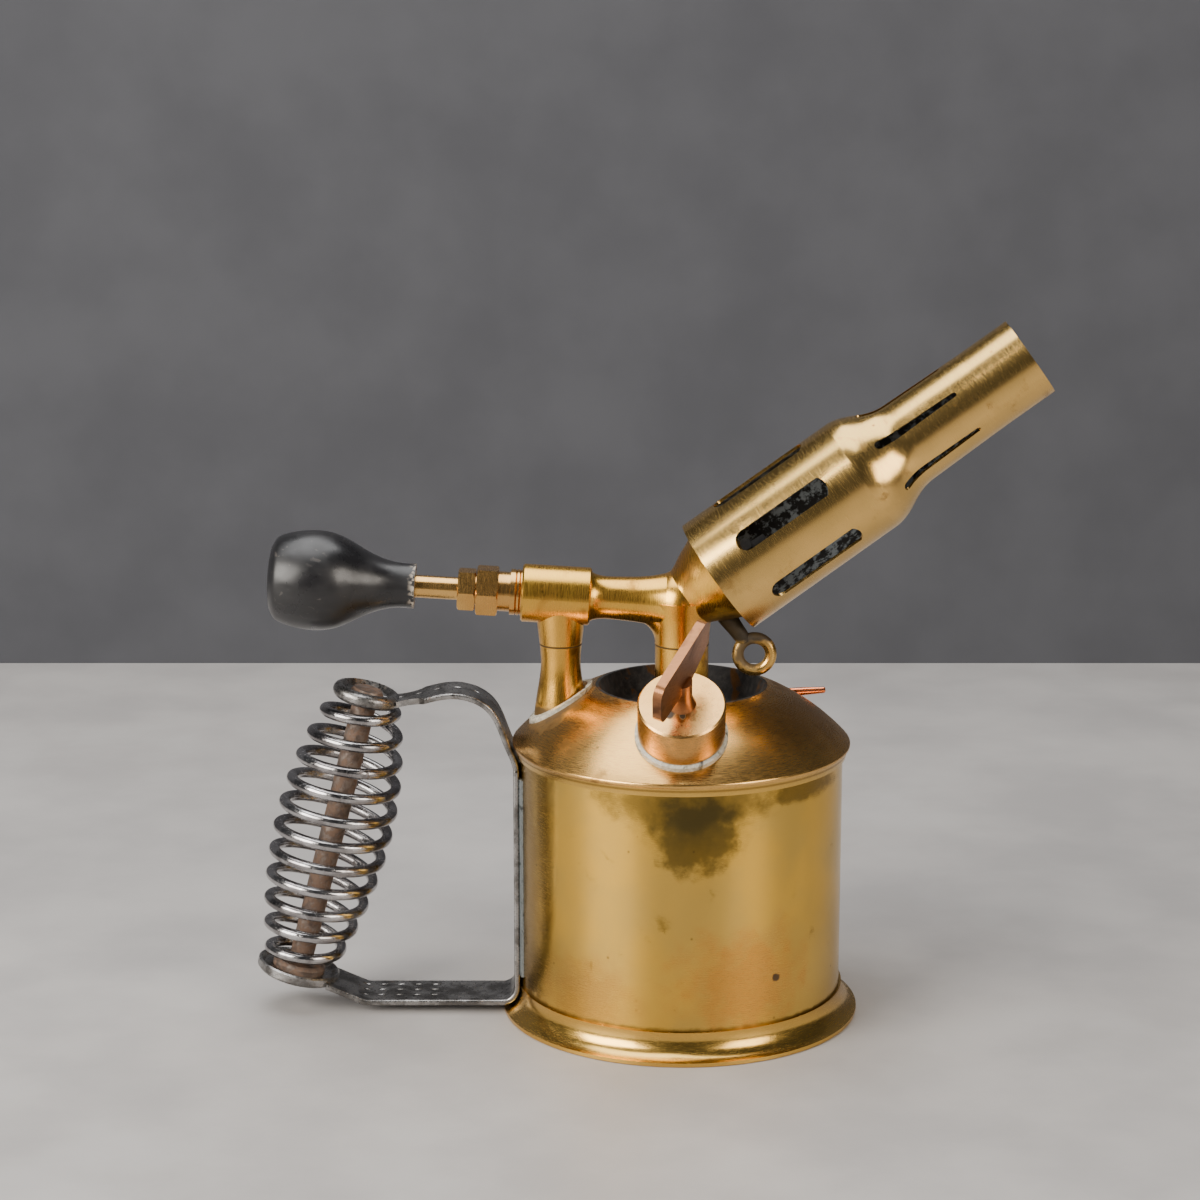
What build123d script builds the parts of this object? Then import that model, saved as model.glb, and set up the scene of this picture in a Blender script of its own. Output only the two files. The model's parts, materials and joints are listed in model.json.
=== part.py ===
from build123d import *
import math
import os

# A self-blowing brass blowlamp: a round fuel tank with a conical top and a sunk priming cup, a valve
# barrel on a riser, a slotted burner tube that leans up over the tank, and a wire-coil handle.
# Millimetres, +Z up. The origin is where the tank's axis meets the surface that the lamp stands on,
# the burner points along +X and the handle is at -X.

# ---- tank ----
WALL = 0.9                      # sheet brass of the body, top, cup and burner tube
BODY_R = 46.7                   # outside of the tank's cylinder
BODY_BOTTOM_Z = 5.0
BODY_TOP_Z = 78.6
FLOOR_RECESS = 4.0              # bottom plate above the body's lower edge
FOOT_FLARE = 5.2                # foot ring beyond the body
FOOT_LIP = 1.3
FOOT_GRIP = 3.6                 # how far the ring reaches up over the body
RIM_OVERHANG = 1.9              # widest edge of the top beyond the body
RIM_RISE = 2.6                  # that edge above the body's upper edge
RIM_ROUND = 0.7
SKIRT_LAP = 1.3                 # how far the top's skirt reaches down over the body
CUP_R = 24.8                    # mouth of the priming cup, flush with the top
CONE_RISE = 16.1                # cup's mouth above the rim
TOP_CROWN_R = 62.0              # radius of the top's convex slope
CUP_DEPTH = 11.5
CUP_FLOOR_R = 19.0
SOLDER_GAP = 0.05               # joint between sheet pieces that are soldered together
BORE_CLEARANCE = 0.05           # pieces that are pushed or screwed into a bore and stay there
TOUCH = 0.02                    # hairline between two pieces that are screwed tight together

# ---- supply riser, support post and casting ----
RISER_OUT = 34.8                # from the tank's axis to the riser's
RISER_BASE_R = 7.8
RISER_WAIST_R = 5.7
RISER_WAIST_RISE = 7.2          # above the cup's mouth
RISER_TOP_R = 6.7
RISER_BORE_R = 3.4
RISER_WALL = 1.5
RISER_SPIGOT = 8.46             # how far the riser reaches into the tank
RISER_SOLDER = 1.3
WICK_CLEARANCE = 0.8
POST_R = 7.7
POST_RISE = 12.0                # joint of post and casting above the cup's mouth
POST_SPIGOT_R = 3.6
POST_SPIGOT = 4.0
JUNCTION_RISE = 24.2            # meeting point of the valve, burner and post axes above the cup's mouth
VALVE_RISE = 3.5                # degrees that the valve's axis rises towards the knob
BARREL_R = 8.3
BARREL_BEFORE = 8.665           # barrel on the junction's side of the riser's axis
BARREL_AFTER = 11.135           # and on the knob's side
BORE_BEYOND = 5.2               # valve seat beyond the barrel, towards the junction
NECK_R = 6.2
NECK_WAIST = 18.5
ELBOW_R = 9.2
BEND_INSIDE_R = 6.6             # round corner under the neck, where the casting turns down
BEND_THICK_R = 6.1
BEND_RISE = 0.9                 # top of the bend above the junction
PASSAGE_R = 1.5

# ---- burner ----
BURNER_TILT = 36.0              # degrees above the horizontal
BURNER_START = 12.9             # from the junction to the tube's rear edge
BURNER_LENGTH = 107.7
BURNER_REAR_R = 17.8
BURNER_TAPER = 0.2              # from the rear edge to the shoulder
BURNER_SHOULDER = 50.0
BURNER_NECK_R = 12.6
SHOULDER_LENGTH = 16.5
MUZZLE_TAPER = 0.5
MUZZLE_LENGTH = 16.0            # true cylinder at the end, where an accessory slides on
SLOTS = 6
SLOT_TURN = 24.0                # degrees from the lamp's side up to the first slot
SLOT_START = 10.8
SLOT_LENGTH = 30.2
SLOT_WIDTH = 6.1
SLOT_BULGE = 1.3                # how far the slot's front end bows out
GILL_TURN = 28.0
GILL_AHEAD = 8.0                # narrow slots start this far over the shoulder
GILL_LENGTH = 26.8
GILL_WIDTH = 2.5
GILL_TIP_WIDTH = 1.4
BELL_INSET = 3.0                # casting inside the tube's outer edge, where it enters
FLANGE_RECESS = 0.8
FLANGE_LENGTH = 5.0
NOSE_R = 7.0
NOSE_LENGTH = 4.5
JET_HEX = 8.0
JET_GAP = 0.3                   # below the shank, in its drilling
JET_HEX_LENGTH = 3.0
JET_TIP_R = 2.6
JET_LENGTH = 7.0
JET_HOLE_R = 0.4
JET_SHANK_R = 2.5
JET_SHANK = 4.0

# ---- eye plug behind the burner ----
EYE_BACK = 5.0                  # behind the tube's rear edge
EYE_OUT = 6.9                   # ring centre outside the burner's rear edge
EYE_RING_R = 4.75
EYE_WIRE_R = 1.7
EYE_STEM_R = 2.9
EYE_SHANK_R = 2.4
EYE_SEAT_R = 9.0
EYE_TURN = 8.0                  # degrees that the ring is turned from facing the lamp's side

# ---- valve spindle and gland, all along the valve's axis ----
THREAD_PITCH = 1.1
THREAD_R = 6.6
THREAD_LENGTH = 3.3
THREAD_DEPTH = 0.45
COLLAR_R = 5.7
COLLAR_LENGTH = 3.5
BOX_HEX = 13.0                  # across flats
BOX_HEX_LENGTH = 6.2
BOX_WALL = 1.3                  # gland body round the spindle
BOX_SHANK = 7.0
NOSE_WALL = 0.2
BOX_NOSE = 2.4
NUT_GAP = 0.3
NUT_HEX = 11.0
NUT_LENGTH = 5.0
HEX_CHAMFER = 0.7
PACKING_THICK = 0.95
PACKING_LENGTH = 4.5
SPINDLE_R = 3.25
SPINDLE_TIP_R = 2.0
SPINDLE_TIP = 3.0
RUNNING_CLEARANCE = 0.06
SPINDLE_SHOWN = 12.3            # between the nut and the knob
KNOB_LENGTH = 41.8
KNOB_R = 14.3
KNOB_NECK_R = 6.5
KNOB_WAIST_R = 6.7
KNOB_SOCKET = 14.0

# ---- filler ----
FILLER_TURN = -91.5             # degrees about the tank's axis
FILLER_OUT = 10.9               # from the cup's mouth to the filler's axis, on the top's surface
FILLER_LEAN = 2.567               # degrees that the neck leans out from square to the slope
FILLER_NECK_R = 9.9
FILLER_WALL = 2.5
FILLER_NECK_BELOW = 3.5
FILLER_NECK_ABOVE = 8.6
FILLER_SOLDER = 3.1             # width of the solder bed round the neck
FILLER_SOLDER_H = 1.1
CAP_WALL = 2.2
CAP_BOTTOM_H = 1.4
CAP_CEILING = 2.9
CAP_CLEARANCE = 0.1
CAP_CHAMFER = 0.5
WASHER_THICK = 1.3
SEAT_GAP = 0.1
WING_NECK_R = 2.9
WING_NECK_FLARE = 4.0
WING_LOW = 7.0
WING_TOP = 21.0
WING_THICK = 2.6
WING_FRONT = 15.8
WING_BACK = 14.8
WING_BACK_LOW = 11.5
WING_ROUND = 3.4
WING_TURN = -25.0

# ---- vent pin ----
PIN_TURN = 35.0                 # degrees about the tank's axis, behind the burner side
PIN_INSET = 7.6                 # inside the top's widest edge
PIN_ROOT_R = 1.25
PIN_TIP_R = 0.95
PIN_LENGTH = 9.8
PIN_SUNK = 3.0
PIN_RISE = 4.0

# ---- handle ----
HANDLE_LEAN = 14.5              # degrees that the grip leans towards the tank
GRIP_OUT = 65.6                 # foot of the grip's axis from the tank's side
GRIP_FOOT_Z = 11.2              # top face of the strap's lower dish, on the grip's axis
GRIP_TOP_RISE = 13.537            # underside of the upper cup above the body's upper edge
STRAP_THICK = 1.7
STRAP_WIDTH = 17.5
STRAP_ARCH_WIDTH = 15.0
NECK_WIDTH = 8.6                # where the strap leaves the upper cup
NECK_NOTCH_R = 6.0
STRAP_Z = 2.3                   # underside of the horizontal run
STRAP_TURN = 19.8               # from the grip's foot to where the strap turns level
STRAP_BEND_R = 5.5
STRAP_KICK = 5.6                # below the body's upper edge, where the strap leaves the tank
STRAP_CLEAR = 0.25
STRAP_GAP = 0.1                 # between the strap and the tank
ARCH_OUT = 19.8                 # highest point of the arch from the tank's side
ARCH_RISE = 3.143                # and above the strap's joint with the cup
DISH_R = 12.1
DISH_RIM = 1.4
CUP_END_R = 9.9
CUP_END_HEIGHT = 4.2
CUP_END_DISH_GAP = 1.6          # hollow round the rivet head
CUP_END_DISH = 1.6
ROD_R = 3.5
ROD_HEAD_LIP = 1.3              # rivet head beyond the rod
ROD_HEAD = 1.2
WIRE_R = 1.6
COIL_TURNS = 10.5               # rising turns, between the two flat ends
COIL_START = 180.0              # degrees round the grip's axis, where the wire begins, at the back
FLAT_START = 0.2                # turns that lie flat at the foot and at the top
FLAT_END = 0.3
COIL_END_GAP = 4.5              # between rod and wire at the two ends
COIL_SWELL = 6.2                # how much wider the coil is in the middle
COIL_MID_SHARE = 0.53           # height share where the coil is widest, from the foot
SEAT_WIDTH = 4.2                # flange round the rod
SEAT_HEIGHT = 2.6
COIL_GAP = 0.1

# ---- worked out from the sizes above ----
FOOT_R = BODY_R + FOOT_FLARE
FOOT_TOP_Z = BODY_BOTTOM_Z + FOOT_GRIP
FLOOR_Z = BODY_BOTTOM_Z + FLOOR_RECESS
RIM_R = BODY_R + RIM_OVERHANG
RIM_Z = BODY_TOP_Z + RIM_RISE
SKIRT_Z = BODY_TOP_Z - SKIRT_LAP
CUP_Z = RIM_Z + CONE_RISE
RISER_X = -RISER_OUT
RISER_WAIST_Z = CUP_Z + RISER_WAIST_RISE
RISER_SPIGOT_R = RISER_BORE_R + RISER_WALL
WICK_R = RISER_BORE_R - WICK_CLEARANCE
POST_TOP_Z = CUP_Z + POST_RISE
JUNCTION_Z = CUP_Z + JUNCTION_RISE
JUNCTION = Vector(0, 0, JUNCTION_Z)
BOX_SHANK_R = SPINDLE_R + BOX_WALL
BARREL_BORE_R = BOX_SHANK_R + BORE_CLEARANCE
RISER_ALONG = RISER_OUT / math.cos(math.radians(VALVE_RISE))
BARREL_START = RISER_ALONG - BARREL_BEFORE
BARREL_END = RISER_ALONG + BARREL_AFTER
BARREL_BORE_END = BARREL_START - BORE_BEYOND
PACKING_R = SPINDLE_R + PACKING_THICK
BOX_NOSE_R = PACKING_R + NOSE_WALL
BOX_FACE = BARREL_END + THREAD_LENGTH + COLLAR_LENGTH + BOX_HEX_LENGTH
KNOB_START = BOX_FACE + NUT_GAP + NUT_LENGTH + SPINDLE_SHOWN
BURNER_INSIDE_R = BURNER_REAR_R - WALL
BURNER_SHOULDER_R = BURNER_REAR_R - BURNER_TAPER
BURNER_NECK = BURNER_SHOULDER + SHOULDER_LENGTH
BURNER_MUZZLE_R = BURNER_NECK_R - MUZZLE_TAPER
GILL_START = BURNER_SHOULDER + GILL_AHEAD
BELL_R = BURNER_REAR_R - BELL_INSET
EYE_RADIUS = BURNER_REAR_R + EYE_OUT
FILLER_R = CUP_R + FILLER_OUT
FILLER_BORE_R = FILLER_NECK_R - FILLER_WALL
FILLER_SOLDER_R = FILLER_NECK_R + FILLER_SOLDER
CAP_R = FILLER_NECK_R + CAP_CLEARANCE + CAP_WALL
CAP_TOP_H = FILLER_NECK_ABOVE + WASHER_THICK + 2 * SEAT_GAP + CAP_CEILING
PIN_R_FROM_AXIS = RIM_R - PIN_INSET
STRAP_BACK_X = -BODY_R - STRAP_GAP
STRAP_KICK_Z = BODY_TOP_Z - STRAP_KICK
GRIP_FOOT_X = -BODY_R - GRIP_OUT
GRIP_LENGTH = (BODY_TOP_Z + GRIP_TOP_RISE - GRIP_FOOT_Z) / math.cos(math.radians(HANDLE_LEAN))
STRAP_TURN_X = GRIP_FOOT_X + STRAP_TURN
ARCH_TOP_X = -BODY_R - ARCH_OUT
ROD_HEAD_R = ROD_R + ROD_HEAD_LIP
CUP_END_DISH_R = ROD_HEAD_R + CUP_END_DISH_GAP
COIL_END_R = ROD_R + COIL_END_GAP + WIRE_R
COIL_MID_R = COIL_END_R + COIL_SWELL
SEAT_R = ROD_R + SEAT_WIDTH


def polar(radius, degrees, z=0.0):
    return Vector(radius * math.cos(math.radians(degrees)), radius * math.sin(math.radians(degrees)), z)


def valve_frame(distance=0.0):
    """Plane across the valve's axis, its normal pointing out towards the knob."""
    rise = math.radians(VALVE_RISE)
    out = Vector(-math.cos(rise), 0, math.sin(rise))
    return Plane(origin=JUNCTION + out * distance, x_dir=(0, -1, 0), z_dir=out)


def burner_frame(distance=0.0):
    """Plane across the burner's axis: normal to the muzzle, x upwards, y to the lamp's -Y side."""
    tilt = math.radians(BURNER_TILT)
    out = Vector(math.cos(tilt), 0, math.sin(tilt))
    up = Vector(-math.sin(tilt), 0, math.cos(tilt))
    return Plane(origin=JUNCTION + out * (BURNER_START + distance), x_dir=up, z_dir=out)


def filler_frame(height=0.0):
    """Plane across the filler's axis, from where that axis meets the top's outer surface."""
    turn = math.radians(FILLER_TURN)
    tilt = top_slope(FILLER_R) + math.radians(FILLER_LEAN)
    out = Vector(math.sin(tilt) * math.cos(turn), math.sin(tilt) * math.sin(turn), math.cos(tilt))
    side = Vector(-math.sin(turn), math.cos(turn), 0)
    foot = polar(FILLER_R, FILLER_TURN, top_height(FILLER_R))
    return Plane(origin=foot + out * height, x_dir=side, z_dir=out)


def grip_frame(height=0.0):
    """Plane across the grip's axis, from the lower dish's upper face up to the cup."""
    lean = math.radians(HANDLE_LEAN)
    out = Vector(math.sin(lean), 0, math.cos(lean))
    return Plane(origin=Vector(GRIP_FOOT_X, 0, GRIP_FOOT_Z) + out * height, x_dir=(0, -1, 0), z_dir=out)


def crown_centre():
    """Centre of the arc, in the r-z plane, that the top's slope follows from the cup to the rim."""
    chord = Vector(RIM_R - CUP_R, RIM_Z - CUP_Z)
    middle = Vector(CUP_R, CUP_Z) + chord * 0.5
    drop = math.sqrt(TOP_CROWN_R ** 2 - (chord.length / 2) ** 2)
    normal = Vector(-chord.Y, chord.X) * (1 / chord.length)
    return middle - normal * drop


def top_height(radius):
    """Height of the top's outer surface at a distance from the tank's axis."""
    centre = crown_centre()
    return centre.Y + math.sqrt(TOP_CROWN_R ** 2 - (radius - centre.X) ** 2)


def top_slope(radius):
    """Steepness of the top's slope at a distance from the tank's axis, in radians."""
    return math.asin((radius - crown_centre().X) / TOP_CROWN_R)


def spun(outline):
    """Turned solid about Z from a closed outline of (radius, height)."""
    face = Plane.XZ * make_face(outline)
    return revolve(face, axis=Axis.Z)


def placed(shape, plane):
    return shape.moved(plane.location)


def rod_between(radius, low, high):
    """Round bar along Z from one height to another."""
    return Pos(0, 0, low) * extrude(Circle(radius), high - low)


def hexagon_bar(across_flats, low, high):
    """Hexagon bar along Z with its two ends chamfered round."""
    corner = across_flats / math.sqrt(3)
    bar = Pos(0, 0, low) * extrude(RegularPolygon(corner, 6), high - low)
    cone = Polyline(
        (0, low), (corner - HEX_CHAMFER, low), (corner, low + HEX_CHAMFER * 0.6),
        (corner, high - HEX_CHAMFER * 0.6), (corner - HEX_CHAMFER, high), (0, high), close=True,
    )
    return bar & spun(cone)


def crown_arc(offset):
    """Arc of the top's slope moved down by an offset."""
    middle_r = (CUP_R + RIM_R) / 2
    return ThreePointArc(
        (CUP_R, CUP_Z - offset), (middle_r, top_height(middle_r) - offset), (RIM_R, RIM_Z - offset)
    )


def under_top(offset=0.0):
    """Everything under the top's outer surface, to trim what stands on it."""
    lower = BODY_TOP_Z / 2
    sides = Polyline(
        (RIM_R, RIM_Z - offset), (RIM_R, lower), (0, lower), (0, CUP_Z - offset), (CUP_R, CUP_Z - offset)
    )
    return spun([crown_arc(offset), sides])


# ---- tank pieces ----
def foot_ring():
    """Spun ring: a flat lip that sweeps up in a concave curve to grip the body's lower edge."""
    inner = BODY_R + SOLDER_GAP
    top_r = inner + 0.7
    curve = ThreePointArc((FOOT_R, FOOT_LIP), (FOOT_R - 3.4, FOOT_LIP + 2.2), (top_r, FOOT_TOP_Z))
    edge = Polyline(
        (top_r, FOOT_TOP_Z), (inner, FOOT_TOP_Z), (inner, BODY_BOTTOM_Z - SOLDER_GAP), (inner + 1.8, 0),
        (FOOT_R - 0.3, 0), (FOOT_R, 0.3), (FOOT_R, FOOT_LIP),
    )
    way_height = 2 * FOOT_TOP_Z
    way_depth = 2 * (FOOT_R - BODY_R) + 3.0
    strap_way = Pos(-FOOT_R, 0, STRAP_Z - STRAP_CLEAR + way_height / 2) * Box(
        way_depth, STRAP_WIDTH + 2 * STRAP_CLEAR, way_height
    )
    return spun([curve, edge]) - strap_way


def tank_body():
    """Plain drawn cylinder."""
    return rod_between(BODY_R, BODY_BOTTOM_Z, BODY_TOP_Z) - rod_between(BODY_R - WALL, 0, BODY_TOP_Z + 1)


def tank_bottom():
    """Bottom plate with an upturned edge, sweated inside the body above its lower edge."""
    edge_r = BODY_R - WALL - SOLDER_GAP
    disc = rod_between(edge_r, BODY_BOTTOM_Z + 0.4, FLOOR_Z + WALL)
    return disc - rod_between(edge_r - WALL, 0, FLOOR_Z)


def tank_top():
    """Convex conical top: cup opening, folded rim and a skirt over the body."""
    inner_r = BODY_R + SOLDER_GAP
    skirt_r = inner_r + WALL
    under = 1.15
    fold_r = RIM_R - 0.1
    fold_z = RIM_Z - 2 * RIM_ROUND
    rim = ThreePointArc((RIM_R, RIM_Z), (RIM_R + 0.25, RIM_Z - RIM_ROUND), (fold_r, fold_z))
    cove = ThreePointArc((fold_r, fold_z), (skirt_r + 0.45, fold_z - 1.0), (skirt_r, SKIRT_Z))
    inner_mid = (CUP_R + inner_r) / 2
    inside = [
        Polyline((skirt_r, SKIRT_Z), (inner_r, SKIRT_Z), (inner_r, top_height(inner_r) - under)),
        ThreePointArc(
            (inner_r, top_height(inner_r) - under), (inner_mid, top_height(inner_mid) - under),
            (CUP_R, CUP_Z - under),
        ),
        Line((CUP_R, CUP_Z - under), (CUP_R, CUP_Z)),
    ]
    shell = spun([crown_arc(0), rim, cove] + inside)
    riser_hole = Pos(RISER_X, 0, 0) * rod_between(RISER_SPIGOT_R + SOLDER_GAP, SKIRT_Z, JUNCTION_Z)
    filler_hole = placed(rod_between(FILLER_NECK_R + SOLDER_GAP, -9, 9), filler_frame())
    pin_hole = placed(rod_between(PIN_ROOT_R + SOLDER_GAP, -8, 4), pin_frame())
    return shell - riser_hole - filler_hole - pin_hole


def priming_cup():
    """Shallow pressed cup in the top's opening, its corner rounded."""
    lip_r = CUP_R - SOLDER_GAP
    floor_z = CUP_Z - CUP_DEPTH
    round_z = floor_z + 4.5

    def bowl(inset, drop):
        mouth_r = lip_r - inset
        wall_r = CUP_FLOOR_R + 3.4 - inset
        low_r = CUP_FLOOR_R - 1.0
        low_z = floor_z + drop
        wall = Line((mouth_r, CUP_Z), (wall_r, round_z))
        corner = ThreePointArc((wall_r, round_z), (CUP_FLOOR_R + 1.9 - inset, low_z + 1.2), (low_r, low_z))
        rest = Polyline((low_r, low_z), (0, low_z), (0, CUP_Z), (mouth_r, CUP_Z))
        return spun([wall, corner, rest])

    return bowl(0, 0) - bowl(WALL, WALL)


# ---- riser, post and casting ----
def riser_tube():
    """Waisted brass tube that brings fuel from the tank up to the valve barrel."""
    top = JUNCTION_Z + 6
    foot_z = top_height(-RISER_X + RISER_BASE_R) - 2
    flank = Spline(
        (RISER_BASE_R, foot_z), (RISER_WAIST_R, RISER_WAIST_Z), (RISER_TOP_R, JUNCTION_Z - 6.5),
        (BARREL_R, top),
        tangents=[(0, 1), (0.3, 1)],
    )
    close = Polyline((BARREL_R, top), (0, top), (0, foot_z), (RISER_BASE_R, foot_z))
    column = Pos(RISER_X, 0, 0) * spun([flank, close])
    column = column - under_top(0) - placed(rod_between(BARREL_R, NECK_WAIST, BARREL_END), valve_frame())
    column = Solid(max(column.solids(), key=lambda solid: solid.volume).wrapped)
    above = Pos(RISER_X, 0, 0) * rod_between(BODY_R, JUNCTION_Z + 3, JUNCTION_Z + 30)
    column = column - above
    spigot_z = top_height(RISER_OUT) - RISER_SPIGOT
    spigot = Pos(RISER_X, 0, 0) * rod_between(RISER_SPIGOT_R, spigot_z, RISER_WAIST_Z - 4)
    bore = Pos(RISER_X, 0, 0) * rod_between(RISER_BORE_R, spigot_z - 1, JUNCTION_Z)
    return column + spigot - bore


def riser_solder():
    """Fillet of soft solder round the riser's foot."""
    collar = Pos(RISER_X, 0, 0) * rod_between(RISER_BASE_R + RISER_SOLDER, RIM_Z, JUNCTION_Z)
    core = Pos(RISER_X, 0, 0) * rod_between(RISER_BASE_R - 0.1, RIM_Z - 1, RISER_WAIST_Z)
    return (collar & under_top(-RISER_SOLDER)) - under_top(0) - core - riser_tube()


def fuel_wick():
    """Cotton wick that hangs from the riser to the bottom of the tank."""
    return Pos(RISER_X, 0, 0) * rod_between(WICK_R, FLOOR_Z + WALL + 0.5, RISER_WAIST_Z + 6)


def support_post():
    """Solid post from the cup's floor, with a spigot into the casting; it carries heat to the cup."""
    floor = CUP_Z - CUP_DEPTH + WALL
    post = rod_between(POST_R, floor, POST_TOP_Z)
    fillet_top = floor + 1.8
    foot = spun(Polyline(
        (0, floor), (POST_R + 1.6, floor), (POST_R, fillet_top), (0, fillet_top), close=True
    ))
    return post + foot + rod_between(POST_SPIGOT_R, POST_TOP_Z - 1, POST_TOP_Z + POST_SPIGOT)


def casting_outside():
    """Barrel, waisted neck, leg and bell of the casting, run together at the elbow."""
    barrel = chamfer(rod_between(BARREL_R, BARREL_START, BARREL_END).edges(), 0.5)
    neck_end_r = BARREL_R - 0.8
    neck_end = BARREL_START + 0.5
    neck_curve = Spline(
        (ELBOW_R, 2.0), (NECK_R + 0.6, NECK_WAIST - 8), (NECK_R, NECK_WAIST), (neck_end_r, neck_end),
        tangents=[(-0.45, 1), (0.9, 1)],
    )
    neck_close = Polyline((neck_end_r, neck_end), (0, neck_end), (0, 2.0), (ELBOW_R, 2.0))
    neck = spun([neck_curve, neck_close])
    bell_start_r = ELBOW_R - 0.4
    bell_curve = Spline(
        (bell_start_r, -BURNER_START), (ELBOW_R + 2.3, -5.5), (BELL_R, FLANGE_RECESS),
        tangents=[(0, 1), (0.9, 1)],
    )
    bell_close = Polyline(
        (BELL_R, FLANGE_RECESS), (0, FLANGE_RECESS), (0, -BURNER_START), (bell_start_r, -BURNER_START)
    )
    bell = spun([bell_curve, bell_close])
    leg_top = JUNCTION_Z + 1
    leg_r = POST_R + 0.1
    leg_top_r = ELBOW_R + 0.9
    leg_curve = Spline(
        (leg_r, POST_TOP_Z), (POST_R + 0.3, POST_TOP_Z + 4), (leg_top_r, leg_top), tangents=[(0, 1), (0.3, 1)]
    )
    leg_close = Polyline((leg_top_r, leg_top), (0, leg_top), (0, POST_TOP_Z), (leg_r, POST_TOP_Z))
    leg = spun([leg_curve, leg_close])
    ball = Pos(*JUNCTION) * Sphere(ELBOW_R + 0.25)
    turn_r = BEND_INSIDE_R + BEND_THICK_R
    turn_x = -POST_R - BEND_INSIDE_R
    turn_z = JUNCTION_Z + BEND_RISE - turn_r
    bend = Pos(turn_x, 0, turn_z) * Rot(90, 0, 0) * Torus(turn_r, BEND_THICK_R)
    quarter = 2 * turn_r
    bend = bend & Pos(turn_x + turn_r, 0, turn_z + turn_r) * Box(quarter, quarter, quarter)
    flange = rod_between(BURNER_INSIDE_R - SOLDER_GAP, FLANGE_RECESS, FLANGE_RECESS + FLANGE_LENGTH)
    nose = rod_between(NOSE_R, FLANGE_RECESS, FLANGE_RECESS + FLANGE_LENGTH + NOSE_LENGTH)
    head = placed(bell, burner_frame()) + placed(flange + nose, burner_frame())
    return head + ball + leg + bend + placed(neck + barrel, valve_frame())


def valve_casting():
    """Valve barrel, neck, elbow, leg and burner boss, cast in one, with its bores and passages."""
    body = casting_outside()
    barrel_bore = placed(rod_between(BARREL_BORE_R, BARREL_BORE_END, BARREL_END + 1), valve_frame())
    passage = placed(rod_between(PASSAGE_R, 0, BARREL_END), valve_frame())
    nose_end = FLANGE_RECESS + FLANGE_LENGTH + NOSE_LENGTH
    gas_way = placed(rod_between(PASSAGE_R, -BURNER_START, nose_end + 1), burner_frame())
    jet_floor = nose_end - JET_SHANK - JET_GAP
    jet_hole = placed(rod_between(JET_SHANK_R + BORE_CLEARANCE, jet_floor, nose_end + 1), burner_frame())
    feed = Pos(RISER_X, 0, 0) * rod_between(RISER_BORE_R, CUP_Z, JUNCTION_Z + 2)
    spigot_hole = rod_between(POST_SPIGOT_R + SOLDER_GAP, POST_TOP_Z - 1, POST_TOP_Z + POST_SPIGOT + 0.3)
    eye_hole = placed(rod_between(EYE_SHANK_R + SOLDER_GAP, 3.5, EYE_RADIUS), eye_frame())
    eye_seat = placed(rod_between(EYE_STEM_R + 0.5, EYE_SEAT_R, EYE_RADIUS), eye_frame())
    return body - barrel_bore - passage - gas_way - jet_hole - feed - spigot_hole - eye_hole - eye_seat


def eye_frame():
    """Plane across the eye plug's axis, from the burner's axis down behind the tube's rear edge."""
    base = burner_frame(-EYE_BACK)
    return Plane(origin=base.origin, x_dir=(0, -1, 0), z_dir=-base.x_dir)


def eye_plug():
    """Ring-headed plug screwed into the casting, closing the cross drilling."""
    ring = Pos(0, 0, EYE_RADIUS) * Rot(0, 90, EYE_TURN) * Torus(EYE_RING_R, EYE_WIRE_R)
    low = EYE_SEAT_R + SOLDER_GAP
    high = EYE_RADIUS - EYE_RING_R
    end_r = EYE_WIRE_R + 0.3
    stem_curve = Spline(
        (EYE_STEM_R, low), (EYE_STEM_R - 0.5, EYE_SEAT_R + 6.5), (end_r, high), tangents=[(0, 1), (-0.2, 1)]
    )
    stem = spun([stem_curve, Polyline((end_r, high), (0, high), (0, low), (EYE_STEM_R, low))])
    shank = rod_between(EYE_SHANK_R, 4.0, EYE_SEAT_R + 0.5)
    return placed(stem + shank + ring, eye_frame())


def jet_nipple():
    """Hexagon jet screwed into the nose inside the tube, with the fine gas hole through it."""
    face = FLANGE_RECESS + FLANGE_LENGTH + NOSE_LENGTH + TOUCH
    head = hexagon_bar(JET_HEX, face, face + JET_HEX_LENGTH)
    tip = spun(Polyline(
        (0, face), (JET_TIP_R + 0.5, face), (JET_TIP_R, face + JET_LENGTH), (0, face + JET_LENGTH), close=True
    ))
    shank = rod_between(JET_SHANK_R, face - JET_SHANK, face + 1)
    return placed(head + tip + shank - rod_between(JET_HOLE_R, 0, face + JET_LENGTH + 1), burner_frame())


# ---- burner ----
def burner_solid(inset, low, high):
    """Solid inside of the burner's outline, drawn in by an inset."""
    middle = ((BURNER_SHOULDER_R + BURNER_NECK_R) / 2 - inset, (BURNER_SHOULDER + BURNER_NECK) / 2 - 0.4)
    curve = Spline(
        (BURNER_SHOULDER_R - inset, BURNER_SHOULDER), middle, (BURNER_NECK_R - inset, BURNER_NECK),
        tangents=[(-0.05, 1), (0, 1)],
    )
    outline = [
        Line((BURNER_REAR_R - inset, low), (BURNER_SHOULDER_R - inset, BURNER_SHOULDER)),
        curve,
        Polyline(
            (BURNER_NECK_R - inset, BURNER_NECK), (BURNER_MUZZLE_R - inset, BURNER_LENGTH - MUZZLE_LENGTH),
            (BURNER_MUZZLE_R - inset, high), (0, high), (0, low), (BURNER_REAR_R - inset, low),
        ),
    ]
    return spun(outline)


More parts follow.
